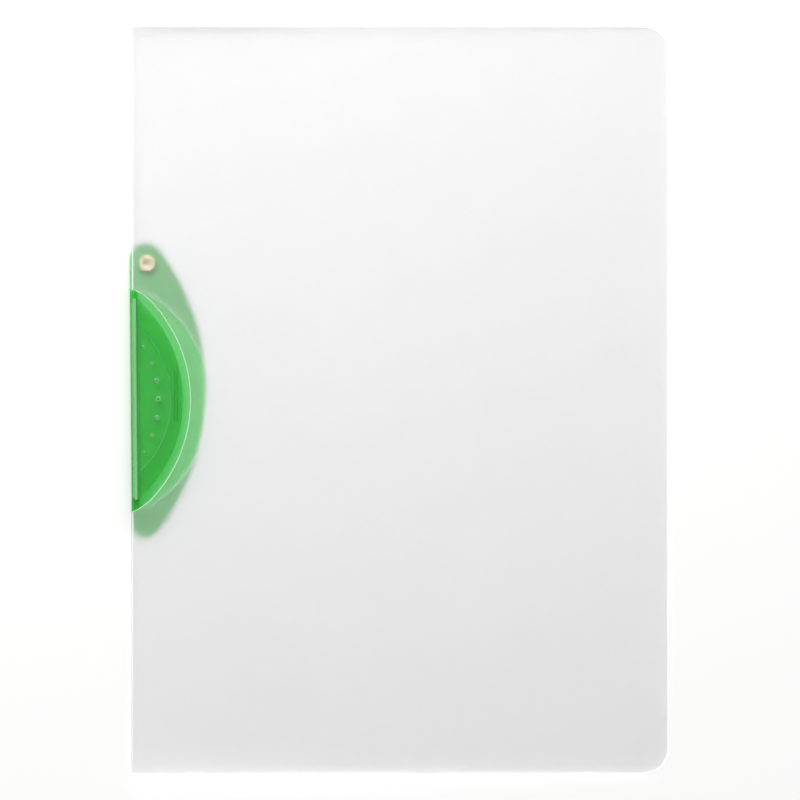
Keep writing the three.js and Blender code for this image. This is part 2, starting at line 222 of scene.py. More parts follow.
# 1 where the floor carries the painted shadow under the folder, 0 outside, with a soft border
painted_shadow_share = wire.node("ShaderNodeMapRange", {"clamp": True}, {
    "Value": wire.math("MAXIMUM", past_spine, past_corner),
    "From Min": -PAINTED_SHADOW_INSET / 2, "From Max": PAINTED_SHADOW_INSET / 2, "To Min": 1.0, "To Max": 0.0,
})
shader = wire.node("ShaderNodeBsdfPrincipled", sockets={
    "Base Color": colour_mix(wire, painted_shadow_share, FLOOR_WHITE, PAINTED_SHADOW_GREY),
    "Roughness": 0.9, "Specular IOR Level": 0.1,
})
finish_material(wire, shader)
corners = [(-1, -1), (1, -1), (1, 1), (-1, 1)]
corners = [(FLOOR_REACH * x, FLOOR_REACH * y) for x, y in corners]
floor = flat_face("floor", corners, -FLOOR_DROP, material)

material, wire = new_material("black_card")
finish_material(wire, wire.node("ShaderNodeBsdfPrincipled", sockets={
    "Base Color": (0.02, 0.02, 0.02, 1), "Roughness": 0.9,
}))
turns = [2 * math.pi * i / CARD_SIDES for i in range(CARD_SIDES)]
rim = [(CARD_RADIUS * math.cos(turn), CARD_RADIUS * math.sin(turn)) for turn in turns]
card = flat_face("card", rim, CARD_HEIGHT, material)

world = bpy.data.worlds.new("studio")
world.use_nodes = True
sky = world.node_tree.nodes["Background"]
sky.inputs["Color"].default_value = (1.0, 1.0, 1.0, 1)
sky.inputs["Strength"].default_value = SKY
bpy.context.scene.world = world
bpy.context.scene.view_settings.view_transform = "Standard"

lamp = bpy.data.lights.new("lamp_above_head", "AREA")
lamp.shape = "SQUARE"
lamp.size = 0.9
lamp.energy = 13
lamp.color = (1, 0.99, 0.98)
holder = place_object("lamp_above_head", lamp)
holder.location = LAMP_PLACE
holder.rotation_euler = (LAMP_AIM - LAMP_PLACE).to_track_quat("-Z", "Y").to_euler()
holder.visible_camera = False
print("studio: a floor, a white sky, a black card and a soft lamp beyond the head of the page")


# %% [markdown]
# Frosted polypropylene is clear plastic full of fine milky scatter, with a matt grain rolled into
# both faces. What lies close under it shows almost sharp, and what lies deeper goes soft. A rough
# transmitting surface does just that, and the little that its faces reflect gives the milky veil.

# %% Frosted sheet
SHEET_SHADE = (0.92, 0.92, 0.92)  # what one face of the sheet lets through to its shadow


def frosted_sheet():
    material, wire = new_material("frosted_sheet")
    place = wire.node("ShaderNodeTexCoord", out=3)
    grain = noise(wire, place, 1500.0, 1.0)
    shader = wire.node("ShaderNodeBsdfPrincipled", sockets={
        "Base Color": colour_mix(wire, grain, (0.9, 0.902, 0.905), (0.91, 0.912, 0.915)),
        "Roughness": 0.56 + grain * 0.1,
        "IOR": 1.43,
        "Specular IOR Level": 0.2,
        "Transmission Weight": 1.0,
    })
    finish_material(wire, lamps_pass(wire, shader, SHEET_SHADE))
    return material


sheet_finish = frosted_sheet()


def cut_edge():
    material, wire = new_material("sheet_cut_edge")
    place = wire.node("ShaderNodeTexCoord", out=3)
    nicks = noise(wire, place, 900.0, 2.0)
    shader = wire.node("ShaderNodeBsdfPrincipled", sockets={
        "Base Color": colour_mix(wire, nicks, (0.93, 0.94, 0.94), (0.99, 0.99, 0.99)),
        "Roughness": 0.4 + nicks * 0.2,
        "IOR": 1.49,
    })
    finish_material(wire, lamps_pass(wire, shader, SHEET_SHADE))
    return material


edge_finish = cut_edge()
print("finish: frosted sheet and its cut edge")


# %% [markdown]
# The clip is moulded in clear green plastic. Its colour comes from depth: one wall is a light
# green, two walls over each other are a strong green, and a rib seen through its height is
# darker still. Light that is absorbed along its way through the solid gives all three at once.

# %% Green translucent plastic
def green_plastic(name, tint, roughness, clearness, speckle):
    material, wire = new_material(name)
    place = wire.node("ShaderNodeTexCoord", out=3)
    ripple = noise(wire, place, 90.0, 0.0)
    pits = noise(wire, place, 2200.0, 0.0)
    bump = wire.node("ShaderNodeBump", sockets={
        "Strength": 0.1 + speckle, "Distance": 0.0001, "Height": ripple + pits * speckle,
    })
    shader = wire.node("ShaderNodeBsdfPrincipled", sockets={
        "Base Color": colour_mix(wire, pits, tint, [share * 0.97 for share in tint]),
        "Roughness": roughness + ripple * 0.04,
        "IOR": 1.5,
        "Specular IOR Level": 0.5,
        "Transmission Weight": clearness,
        "Normal": bump,
    })
    depth = wire.node("ShaderNodeVolumeAbsorption", sockets={
        "Color": (0.1, 0.86, 0.22, 1), "Density": 700.0,
    })
    finish_material(wire, lamps_pass(wire, shader, (0.93, 0.93, 0.93)), depth)
    return material


clip_finish = green_plastic(
    "green_plastic", tint=(0.92, 0.98, 0.92), roughness=0.12, clearness=0.98, speckle=0.0)
# The grained strip: real grain and roughness, and a paler, less clear green that is a painted
# highlight on the top of the bend.
grain_and_highlight_finish = green_plastic(
    "green_plastic_grain_and_highlight", tint=(0.45, 0.95, 0.48), roughness=0.5, clearness=0.5, speckle=0.5)
# The raised forms in the panel: a paler, less clear green that is a painted highlight.
relief_painted_highlight_finish = green_plastic(
    "green_plastic_painted_highlight", tint=(0.35, 0.95, 0.42), roughness=0.25, clearness=0.6, speckle=0.0)
print("finish: green plastic, polished, grained with a painted highlight, and with a painted highlight on the raised forms")


# %% [markdown]
# The eyelet is pale rolled brass, stamped and lightly polished, with faint turning marks round
# its flange.

# %% Eyelet brass
def eyelet_brass():
    material, wire = new_material("eyelet_brass")
    place = wire.node("ShaderNodeTexCoord", out=3)
    marks = noise(wire, place, 1200.0, 2.0)
    shader = wire.node("ShaderNodeBsdfPrincipled", sockets={
        "Base Color": colour_mix(wire, marks, (0.86, 0.76, 0.47), (0.93, 0.85, 0.60)),
        "Metallic": 1.0,
        "Roughness": 0.28 + marks * 0.12,
    })
    finish_material(wire, shader)
    return material


brass_finish = eyelet_brass()
print("finish: eyelet brass")


# %% [markdown]
# Shapes are drawn in millimetres in the folder's own axes: x from the outermost line of the
# spine, y from half way up the page, z from the table. A few helpers turn circles into points
# and points into meshes.

# %% Outline helpers
def arc(centre, radius, start, end, steps):
    turn = (end - start) / steps
    return [
        Vector((
            centre[0] + radius * math.cos(start + turn * step),
            centre[1] + radius * math.sin(start + turn * step),
        ))
        for step in range(steps + 1)
    ]


def crossing(first, first_radius, second, second_radius):
    way = second - first
    distance = way.length
    ahead = (first_radius ** 2 - second_radius ** 2 + distance ** 2) / (2 * distance)
    aside = math.sqrt(first_radius ** 2 - ahead ** 2)
    forward = way.normalized()
    return first + forward * ahead + Vector((forward.y, -forward.x)) * aside


def bearing(start, end):
    return math.atan2(end.y - start.y, end.x - start.x)


def to_row(point):
    return Vector((point[0] * MM + spine_line, point[1] * MM, point[2] * MM))


spine_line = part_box("upper_spine")[0].x
print(f"helpers: the spine's outermost line is at {spine_line * 1000:.2f} mm")


# %% [markdown]
# On the real folder the sheet is cut flat, with the half moons punched out, and then scored and
# folded. This script works the same way. A flat outline becomes one face, straight cuts across
# it put a row of points wherever it will bend, and then the points move to the folded place.
# Solidify gives the sheet its thickness, and a small bevel softens the cut edge.

# %% Sizes of the sheet
PAGE_HALF = 155.0
PAGE_WIDTH = 223.0
SHEET = 0.45
CORNER_RADIUS = 10.0
FRONT_SHORTER = 0.5  # the front cover stops this far inside the back cover
SPINE_BULGE = 0.66  # how far the rounded spine stands out past its two creases
CREASE_GAP = 0.3  # width of the scored line that the front cover turns on
HINGE_Z = 4.5
BACK_UNDERSIDE = 1.4
RUNNING_GAP = 0.3  # between what turns and what stays
SAG_START = 38.0  # from here the back cover bends down from the clip to the table
SAG_END = 78.0
MOON_MIDDLE = -0.1
MOON_HALF = 46.4  # half of the opening through the spine
PIVOT = Vector((6.5, 57.0))

back_middle = BACK_UNDERSIDE + SHEET / 2
spine_rise = (HINGE_Z - BACK_UNDERSIDE) / 2
spine_radius = (spine_rise ** 2 + SPINE_BULGE ** 2) / (2 * SPINE_BULGE)
spine_centre = Vector((spine_radius, BACK_UNDERSIDE + spine_rise))
spine_middle = spine_radius - SHEET / 2
crease_turn = math.asin((spine_centre.y - back_middle) / spine_middle)
crease_x = spine_centre.x - spine_middle * math.cos(crease_turn)
spine_end_x = SPINE_BULGE - CREASE_GAP / 2
spine_end_turn = math.acos((spine_end_x - spine_radius) / spine_middle)
print(f"sheet: spine arc of {spine_radius:.2f} mm, back crease at x {crease_x:.2f} mm")


# %% Half moon
MAIN_STEPS = 64
TIP_STEPS = 24
CORNER_STEPS = 20


def half_moon(reach, flare, tip_radius):
    """A wide arc with a tighter one at each tip. The wide arc alone would pass the tip by flare."""
    radius = (reach ** 2 + (MOON_HALF + flare) ** 2) / (2 * reach)
    main = Vector((reach - radius, 0))
    tip = Vector((0, MOON_HALF))
    blend = crossing(main, radius - tip_radius, tip, tip_radius)
    turn = bearing(main, blend)
    end = bearing(blend, tip)
    low = Vector((blend.x, -blend.y))
    points = arc(low, tip_radius, -end, -turn, TIP_STEPS)
    points += arc(main, radius, -turn, turn, MAIN_STEPS)[1:]
    points += arc(blend, tip_radius, turn, end, TIP_STEPS)[1:]
    return [Vector((p.x, p.y + MOON_MIDDLE)) for p in points]


def page_outline(left, right, moon):
    """Anticlockwise from the foot of the left side, with the half moon cut into the left side."""
    corner = right - CORNER_RADIUS
    points = [Vector((left, -PAGE_HALF))]
    low = (corner, CORNER_RADIUS - PAGE_HALF)
    high = (corner, PAGE_HALF - CORNER_RADIUS)
    points += arc(low, CORNER_RADIUS, -math.pi / 2, 0, CORNER_STEPS)
    points += arc(high, CORNER_RADIUS, 0, math.pi / 2, CORNER_STEPS)
    points.append(Vector((left, PAGE_HALF)))
    inside = [p for p in moon if p.x > crease_x]
    points.append(Vector((left, inside[-1].y)))
    points += reversed(inside)
    points.append(Vector((left, inside[0].y)))
    return points


front_moon = half_moon(reach=24.45, flare=1.93, tip_radius=26.0)
back_moon = half_moon(reach=32.4, flare=0.95, tip_radius=24.0)
print(f"half moons: {len(front_moon)} and {len(back_moon)} points")


# %% A sheet that is cut flat and then folded
EDGE_ROUND = 0.18
EDGE_ANGLE = math.radians(70)  # edges sharper than this are cut edges
FOLD_CLEAR = 0.3  # the rim stays square this close to the fold


def apply_modifiers(thing):
    graph = bpy.context.evaluated_depsgraph_get()
    made = bpy.data.meshes.new_from_object(
        thing.evaluated_get(graph), preserve_all_data_layers=True, depsgraph=graph)
    thing.modifiers.clear()
    thing.data = made
    return thing


def soften_rim(sheet, fold_end):
    bm = bmesh.new()
    bm.from_mesh(sheet.data)
    start = to_row((fold_end + FOLD_CLEAR, 0, 0)).x
    rim = [
        edge for edge in bm.edges
        if edge.calc_face_angle(0) > EDGE_ANGLE and min(v.co.x for v in edge.verts) > start
    ]
    bmesh.ops.bevel(
        bm, geom=rim, offset=EDGE_ROUND * MM, segments=2, profile=0.5, affect="EDGES",
        material=1, clamp_overlap=False)
    bm.to_mesh(sheet.data)
    bm.free()


def folded_sheet(name, outline, columns, fold, fold_end):
    """outline is flat, columns are the straight cuts, and fold gives x and z for a flat x."""
    bm = bmesh.new()
    bm.faces.new([bm.verts.new((p.x, p.y, 0)) for p in outline])
    for x in columns:
        geometry = bm.verts[:] + bm.edges[:] + bm.faces[:]
        bmesh.ops.bisect_plane(
            bm, geom=geometry, dist=1e-5, plane_co=(x, 0, 0), plane_no=(1, 0, 0))
    bmesh.ops.recalc_face_normals(bm, faces=bm.faces[:])
    if bm.faces[:][0].normal.z < 0:
        bmesh.ops.reverse_faces(bm, faces=bm.faces[:])
    for vert in bm.verts:
        x, z = fold(vert.co.x)
        vert.co = to_row((x, vert.co.y, z))
    sheet = mesh_object(name, bm, sheet_finish, edge_finish)
    wall = sheet.modifiers.new("sheet", "SOLIDIFY")
    wall.thickness = SHEET * MM
    wall.offset = 0
    wall.use_even_offset = True
    wall.material_offset_rim = 1
    apply_modifiers(sheet)
    soften_rim(sheet, fold_end)
    return sheet


def triangles(thing):
    graph = bpy.context.evaluated_depsgraph_get()
    mesh = thing.evaluated_get(graph).to_mesh()
    mesh.calc_loop_triangles()
    return len(mesh.loop_triangles)


def smooth(thing, degrees=30):
    """Curved walls shade round, and flat walls stay flat up to their edges."""
    for face in thing.data.polygons:
        face.use_smooth = True
    thing.data.set_sharp_from_angle(angle=math.radians(degrees))
    even = thing.modifiers.new("even", "WEIGHTED_NORMAL")
    even.keep_sharp = True
    even.weight = 50
    apply_modifiers(thing)


print("folding: bend a flat sheet by its columns")


# %% [markdown]
# The back cover lies on the table at its free side and rides over the clip's lower jaw beside
# the spine, so it bends gently from one height to the other. The spine stands up from its crease
# in a shallow arc.

# %% Back cover and spine
def sag(x):
    share = min(max((x - SAG_START) / (SAG_END - SAG_START), 0.0), 1.0)
    return share * share * (3 - 2 * share)


def back_fold(x):
    if x >= crease_x:
        return x, back_middle + (SHEET / 2 - back_middle) * sag(x)
    turn = math.pi + crease_turn - (crease_x - x) / spine_middle
    return (
        spine_centre.x + spine_middle * math.cos(turn),
        spine_centre.y + spine_middle * math.sin(turn),
    )


SPINE_STEPS = 12
SAG_STEPS = 20
spine_length = spine_middle * (math.pi + crease_turn - spine_end_turn)
back_left = crease_x - spine_length
columns = [crease_x - spine_length * i / SPINE_STEPS for i in range(SPINE_STEPS)]
columns += [SAG_START + (SAG_END - SAG_START) * i / SAG_STEPS for i in range(SAG_STEPS + 1)]
back_sheet = folded_sheet(
    "back_sheet", page_outline(back_left, PAGE_WIDTH, back_moon), columns, back_fold, crease_x)


# %% Punch the eyelet's hole
def disc(name, radius, bottom, top, place, steps=64):
    """An upright round rod."""
    bm = bmesh.new()
    circle = arc((place.x, place.y), radius, 0, 2 * math.pi, steps)[:-1]
    low = [bm.verts.new(to_row((p.x, p.y, bottom))) for p in circle]
    high = [bm.verts.new(to_row((p.x, p.y, top))) for p in circle]
    bm.faces.new(low[::-1])
    bm.faces.new(high)
    for i in range(steps):
        j = (i + 1) % steps
        bm.faces.new((low[i], low[j], high[j], high[i]))
    return mesh_object(name, bm)


def combine(thing, tool, how):
    """Adds, cuts or keeps the common space of two closed pieces, and removes the second."""
    step = thing.modifiers.new(how, "BOOLEAN")
    step.operation = how
    step.solver = "EXACT"
    step.object = tool
    apply_modifiers(thing)
    bpy.data.objects.remove(tool)
    return thing


EYELET_BARREL = 2.05
SEAT_GAP = 0.05  # between the eyelet and the sheet it is set in
PUNCH_TOP = 4.0
combine(back_sheet, disc("punch", EYELET_BARREL + SEAT_GAP, 0, PUNCH_TOP, PIVOT), "DIFFERENCE")
smooth(back_sheet)
print("back_sheet:", triangles(back_sheet), "triangles")


# %% [markdown]
# The front cover is flat and slopes from the spine down to the free side. Its fold is part of
# the same sheet: a scored line that carries the cover round when the folder opens.

# %% Front cover with its fold
front_width = PAGE_WIDTH - FRONT_SHORTER - SPINE_BULGE
front_slope = math.asin((HINGE_Z - 2 * SHEET - RUNNING_GAP) / front_width)
front_start = SPINE_BULGE + CREASE_GAP / 2
spine_end = Vector((spine_end_x, spine_centre.y + spine_middle * math.sin(spine_end_turn)))


def front_point(x):
    run = x - SPINE_BULGE
    drop = SHEET / 2
    return Vector((
        SPINE_BULGE + run * math.cos(front_slope) - drop * math.sin(front_slope),
        HINGE_Z - run * math.sin(front_slope) - drop * math.cos(front_slope),
    ))


fold_way = Vector((math.sin(spine_end_turn), -math.cos(spine_end_turn)))
FOLD_KNEE = 0.28  # how far the fold runs on along the spine before it turns
FOLD_STEPS = 6
fold_knee = spine_end + fold_way * FOLD_KNEE


def front_fold(x):
    if x >= front_start:
        return front_point(x)
    t = (x - spine_end_x) / (front_start - spine_end_x)
    end = front_point(front_start)
    return spine_end * (1 - t) ** 2 + fold_knee * 2 * t * (1 - t) + end * t ** 2


fold_columns = [
    spine_end_x + (front_start - spine_end_x) * i / FOLD_STEPS for i in range(1, FOLD_STEPS + 1)]
front_sheet = folded_sheet(
    "front_sheet",
    page_outline(spine_end_x, PAGE_WIDTH - FRONT_SHORTER, front_moon),
    fold_columns,
    front_fold,
    front_start,
)
smooth(front_sheet)
print("front_sheet:", triangles(front_sheet), "triangles")


# %% [markdown]
# The clip is one moulding. Each part of it is drawn where the tool maker would cut it: the lower
# jaw as a flat plate, the bend and the upper jaw as one bent section trimmed by an arc, and two
# solid cheeks. They are joined into one closed body.

# %% Sizes of the clip
REST_TILT = math.radians(0.5)
JAW = 1.1
JAW_EDGE_ROUND = 0.25
CLIP_TOP = 4.2
BACK_X = 7.4
EAR_TOP = 8.1
EAR_RADIUS = 6.8
TAIL_END = 113.8
TAIL_RADIUS = 5.7
BOW_RADIUS = 96.0
BEND_RADIUS = 2.0
BEND_WIDTH = 3.2
CHEEK_DROP = 0.8
CHEEK_SHORT = 0.5
CHEEK_SLANT = 1.0
CHEEK_WALL = 0.8
UPPER_MIDDLE = 56.5
UPPER_REACH = 14.3
UPPER_RADIUS = 56.4
PANEL_REACH = 9.5
PANEL_RADIUS = 40.3
PANEL_DEPTH = 0.2
PANEL_EDGE_ROUND = 0.15
RIB_X = 11.4
RIB_MIDDLE = 54.2
RIB_LENGTH = 23.0
RIB_WIDTH = 1.4
RIB_HEIGHT = 0.6
EYELET_ROLL = 3.0
ROLL_RECESS = 0.6  # depth of the recess under the ear that takes the eyelet's rolled end

bend = Vector((BEND_RADIUS - BACK_X, CLIP_TOP - BEND_RADIUS))
cheek_x = BEND_WIDTH - BACK_X
cheek_end = PIVOT.y - MOON_MIDDLE + MOON_HALF - CHEEK_SHORT
bend_inner = BEND_RADIUS - JAW
rib_from_bend = Vector((RIB_X - bend.x, JAW + RUNNING_GAP + RIB_HEIGHT - bend.y))
jaw_slope = math.asin(bend_inner / rib_from_bend.length)
jaw_slope -= math.atan2(rib_from_bend.y, rib_from_bend.x)
upper_centre = UPPER_REACH - UPPER_RADIUS
upper_turn = math.acos((cheek_x - upper_centre) / UPPER_RADIUS)
upper_half = UPPER_RADIUS * math.sin(upper_turn)
print(f"clip: upper jaw of {2 * upper_half:.1f} mm, sloping {math.degrees(jaw_slope):.2f} degrees")


# %% Plates, sections and placing
clip_turn = Matrix.Rotation(REST_TILT, 3, "Z")


def clip_to_row(point):
    """From the clip's own axes, measured from its pivot, to the row frame."""
    turned = clip_turn @ Vector(point)
    return to_row((turned.x + PIVOT.x, turned.y + PIVOT.y, turned.z))


def prism(name, outline, bottom, top, lay, edge=0.0):
    """outline is 2-D. lay places (u, v, height) in the clip's axes. edge rounds both rims."""
    bm = bmesh.new()
    base = bm.faces.new([bm.verts.new((p.x, p.y, bottom)) for p in outline])
    raised = bmesh.ops.extrude_face_region(bm, geom=[base])["geom"]
    verts = [g for g in raised if isinstance(g, bmesh.types.BMVert)]
    bmesh.ops.translate(bm, verts=verts, vec=(0, 0, top - bottom))
    bmesh.ops.recalc_face_normals(bm, faces=bm.faces[:])
    if edge:
        rims = [e for e in bm.edges if abs(e.verts[0].co.z - e.verts[1].co.z) < 1e-6]
        bmesh.ops.bevel(
            bm, geom=rims, offset=edge, segments=3, profile=0.5, affect="EDGES",
            clamp_overlap=True)
    for vert in bm.verts:
        vert.co = clip_to_row(lay(vert.co))
    bmesh.ops.recalc_face_normals(bm, faces=bm.faces[:])
    return mesh_object(name, bm, clip_finish)


def lying(point):
    return point.x, point.y, point.z


def standing(point):
    return point.x, point.z, point.y


def on_jaw(point):
    """From the slope of the upper jaw, measured from the bend's centre, to the clip's axes."""
    run = point.x - bend.x
    return (
        bend.x + run * math.cos(jaw_slope) + point.z * math.sin(jaw_slope),
        point.y,
        bend.y - run * math.sin(jaw_slope) + point.z * math.cos(jaw_slope),
    )


def across_jaw(point):
    return on_jaw(Vector((point.x, point.z, point.y)))


print("plates: flat, standing or on the slope of the jaw")


# %% Lower jaw
OVER = 2.0  # how far cutters reach past what they cut
STEP_IN = 0.01  # a part that is joined stands this far inside a wall it would share
DRILL_FOOT = -1.0
DRILL_TOP = 2.0
EAR_STEPS = 32
BOW_STEPS = 72
ear = Vector((EAR_RADIUS - BACK_X, EAR_TOP - EAR_RADIUS))
tail = Vector((TAIL_RADIUS - BACK_X, TAIL_RADIUS - TAIL_END))
bow = crossing(ear, BOW_RADIUS - EAR_RADIUS, tail, BOW_RADIUS - TAIL_RADIUS)
tail_turn = bearing(bow, tail)
ear_turn = bearing(bow, ear)
outline = arc(tail, TAIL_RADIUS, -math.pi, tail_turn, EAR_STEPS)
outline += arc(bow, BOW_RADIUS, tail_turn, ear_turn, BOW_STEPS)[1:]
outline += arc(ear, EAR_RADIUS, ear_turn, math.pi, EAR_STEPS)[1:]
clip = prism("clip", outline, 0, JAW, lying, JAW_EDGE_ROUND)
hole = disc("ear_hole", EYELET_BARREL + RUNNING_GAP, DRILL_FOOT, DRILL_TOP, PIVOT)
combine(clip, hole, "DIFFERENCE")
recess = disc("ear_recess", EYELET_ROLL + RUNNING_GAP, DRILL_FOOT, ROLL_RECESS, PIVOT)
combine(clip, recess, "DIFFERENCE")
print("lower jaw:", triangles(clip), "triangles")


# %% Bend and upper jaw
UPPER_STEPS = 96


def jaw_point(radius, run):
    return Vector((
        bend.x + radius * math.sin(jaw_slope) + run * math.cos(jaw_slope),
        bend.y + radius * math.cos(jaw_slope) - run * math.sin(jaw_slope),
    ))


length = UPPER_REACH - bend.x + OVER
outer = BEND_RADIUS - STEP_IN
section = [Vector((bend.x - outer, JAW / 2)), Vector((JAW - BACK_X, JAW / 2))]
section += arc(bend, bend_inner, math.pi, math.pi / 2 - jaw_slope, 12)
section += [jaw_point(bend_inner, length), jaw_point(outer, length)]
section += arc(bend, outer, math.pi / 2 - jaw_slope, math.pi, 20)
upper = prism("upper", section, -cheek_end - OVER / 2, 0, standing)

outline = [Vector((-BACK_X - OVER, -upper_half - UPPER_MIDDLE))]
middle = (upper_centre, -UPPER_MIDDLE)
outline += arc(middle, UPPER_RADIUS, -upper_turn, upper_turn, UPPER_STEPS)
outline.append(Vector((-BACK_X - OVER, upper_half - UPPER_MIDDLE)))
combine(upper, prism("trim", outline, 0, CLIP_TOP + OVER, lying), "INTERSECT")
print("upper jaw:", triangles(upper), "triangles")


# %% [markdown]
# Seven domed pimples in the panel give the thumb a grip. They stand on an arc, the middle one
# largest. On the real mould they are seven cuts of one ball cutter, each less deep than the last,
# so here one ball is repeated along the row and shrinks with its distance from the middle.

# %% Row of pimples
PIMPLES = 7
PIMPLE_REACH = 4.2
PIMPLE_ROW_RADIUS = 42.2
PIMPLE_PITCH = math.radians(10.4)
PIMPLE_RADIUS = 1.25
PIMPLE_LESS = 0.22  # how much smaller each one is than its neighbour
PIMPLE_RISE = 0.3  # height of a dome as a share of its radius
PIMPLE_SINK = 0.5  # share of a dome's height that its ball's middle lies under the panel
PIMPLE_WIDER = 1.06


def pimple_row():
    tree = bpy.data.node_groups.new("pimple_row", "GeometryNodeTree")
    tree.interface.new_socket("Geometry", in_out="OUTPUT", socket_type="NodeSocketGeometry")
    wire = Wire(tree)
    kinds = {int: "NodeSocketInt", float: "NodeSocketFloat"}
    values = {
        "Count": PIMPLES, "Pitch": PIMPLE_PITCH, "Row Radius": PIMPLE_ROW_RADIUS,
        "Largest": PIMPLE_RADIUS, "Less Each": PIMPLE_LESS, "Rise": PIMPLE_RISE,
    }
    keys = {}
    for name, value in values.items():
        kind = kinds[type(value)]
        socket = tree.interface.new_socket(name, in_out="INPUT", socket_type=kind)
        keys[name] = socket.identifier
    entry = tree.nodes.new("NodeGroupInput")
    given = {name: Wire(tree, entry.outputs[name]) for name in values}
    place = wire.node("GeometryNodeInputIndex") - (given["Count"] - 1.0) * 0.5
    turn = place * given["Pitch"]
    back = given["Row Radius"] * (1.0 - wire.math("COSINE", turn))
    radius = given["Largest"] - abs(place) * given["Less Each"]
    spot = wire.node("ShaderNodeCombineXYZ", sockets={
        0: PIMPLE_REACH - back, 1: given["Row Radius"] * wire.math("SINE", turn),
        2: radius * given["Rise"] * -PIMPLE_SINK,
    })
    size = wire.node("ShaderNodeCombineXYZ", sockets={
        0: radius * PIMPLE_WIDER, 1: radius * PIMPLE_WIDER,
        2: radius * given["Rise"] * (1 + PIMPLE_SINK),
    })
    points = wire.node("GeometryNodeMeshLine", sockets={"Count": given["Count"]})
    points = wire.node("GeometryNodeSetPosition", sockets={"Geometry": points, "Position": spot})
    ball = wire.node("GeometryNodeMeshUVSphere", sockets={
        "Segments": 40, "Rings": 20, "Radius": 1.0,
    })
    row = wire.node("GeometryNodeInstanceOnPoints", sockets={
        "Points": points, "Instance": ball, "Scale": size,
    })
    row = wire.node("GeometryNodeRealizeInstances", sockets={"Geometry": row})
    row = wire.node("GeometryNodeSetMaterial", sockets={"Geometry": row, "Material": clip_finish})
    wire.node("NodeGroupOutput", sockets={"Geometry": row})

    holder = place_object("pimples", bpy.data.meshes.new("pimples"))
    step = holder.modifiers.new("row", "NODES")
    step.node_group = tree
    for name, value in values.items():
        step[keys[name]] = value
    apply_modifiers(holder)
    for vert in holder.data.vertices:
        on_floor = vert.co + Vector((0, -UPPER_MIDDLE, panel_floor))
        vert.co = clip_to_row(on_jaw(on_floor))
    return holder


# %% Sunk panel, clamping rib and cheeks
panel_floor = BEND_RADIUS - PANEL_DEPTH
panel_centre = PANEL_REACH - PANEL_RADIUS
panel_left = cheek_x - BEND_RADIUS / 2
panel_turn = math.acos((panel_left - panel_centre) / PANEL_RADIUS)
middle = (panel_centre, -UPPER_MIDDLE)
outline = arc(middle, PANEL_RADIUS, -panel_turn, panel_turn, UPPER_STEPS)
panel = prism("panel", outline, panel_floor, panel_floor + OVER, on_jaw, PANEL_EDGE_ROUND)
combine(upper, panel, "DIFFERENCE")

RIB_STEPS = 6
rib_left = RIB_X - RIB_WIDTH / 2
rib_right = RIB_X + RIB_WIDTH / 2
rib_root = bend_inner + JAW / 2
tip = RIB_HEIGHT / 2
down = 1.5 * math.pi
section = [Vector((rib_right, rib_root)), Vector((rib_left, rib_root))]
section += arc((rib_left + tip, bend_inner - tip), tip, math.pi, down, RIB_STEPS)
section += arc((rib_right - tip, bend_inner - tip), tip, down, 2 * math.pi, RIB_STEPS)
rib_low = -RIB_MIDDLE - RIB_LENGTH / 2
combine(upper, prism("rib", section, rib_low, rib_low + RIB_LENGTH, across_jaw), "UNION")

combine(upper, pimple_row(), "UNION")

TRIM_REACH = 0.3  # the ends are trimmed this far down into the lower jaw
cheek_top = CLIP_TOP - CHEEK_DROP
cheek_round = BEND_RADIUS / 2
cheek_back = 3 * STEP_IN - BACK_X
cheek_foot = JAW / 2 + 2 * STEP_IN
round_middle = (cheek_back + cheek_round, cheek_top - cheek_round)
section = [Vector((cheek_back, cheek_foot)), Vector((cheek_x, cheek_foot))]
section += [Vector((cheek_x, cheek_top))]
section += arc(round_middle, cheek_round, math.pi / 2, math.pi, 8)
cheek_reach = upper_half - CHEEK_WALL
cheek_low = -UPPER_MIDDLE - cheek_reach
cheek_high = cheek_reach - UPPER_MIDDLE
combine(upper, prism("low", section, -cheek_end - OVER / 3, cheek_low, standing), "UNION")
combine(upper, prism("high", section, cheek_high, -OVER / 3, standing), "UNION")
spine_tip = Vector((0, MOON_MIDDLE + MOON_HALF))
clear = (spine_tip - PIVOT).length + RUNNING_GAP
trim_foot = JAW - TRIM_REACH
combine(upper, disc("end_trim", clear, trim_foot, CLIP_TOP + OVER, PIVOT), "DIFFERENCE")
slant = [
    Vector((-BACK_X - OVER, -cheek_end - CHEEK_SLANT * OVER / BEND_WIDTH)),
    Vector((-BACK_X - OVER, -cheek_end - OVER)),
    Vector((cheek_x + OVER, -cheek_end - OVER)),
    Vector((cheek_x + OVER, CHEEK_SLANT - cheek_end)),
    Vector((cheek_x, CHEEK_SLANT - cheek_end)),
]
combine(upper, prism("tail_trim", slant, trim_foot, CLIP_TOP + OVER, lying), "DIFFERENCE")
combine(clip, upper, "UNION")
print("clip:", triangles(clip), "triangles")


# %% [markdown]
# Along its bend the real clip has a strip of fine grain, which hides the marks of wear where the
# clip rubs. In the mould it is a spark-eroded strip between two polished walls. The faces of the
# strip get the grained finish here, after one cut gives it a straight border. Its grain and
# roughness are real, and its paler green is a painted highlight on the top of the bend. The
# leaning faces of the sunk panel and its pimples get a paler green as well: a painted highlight.

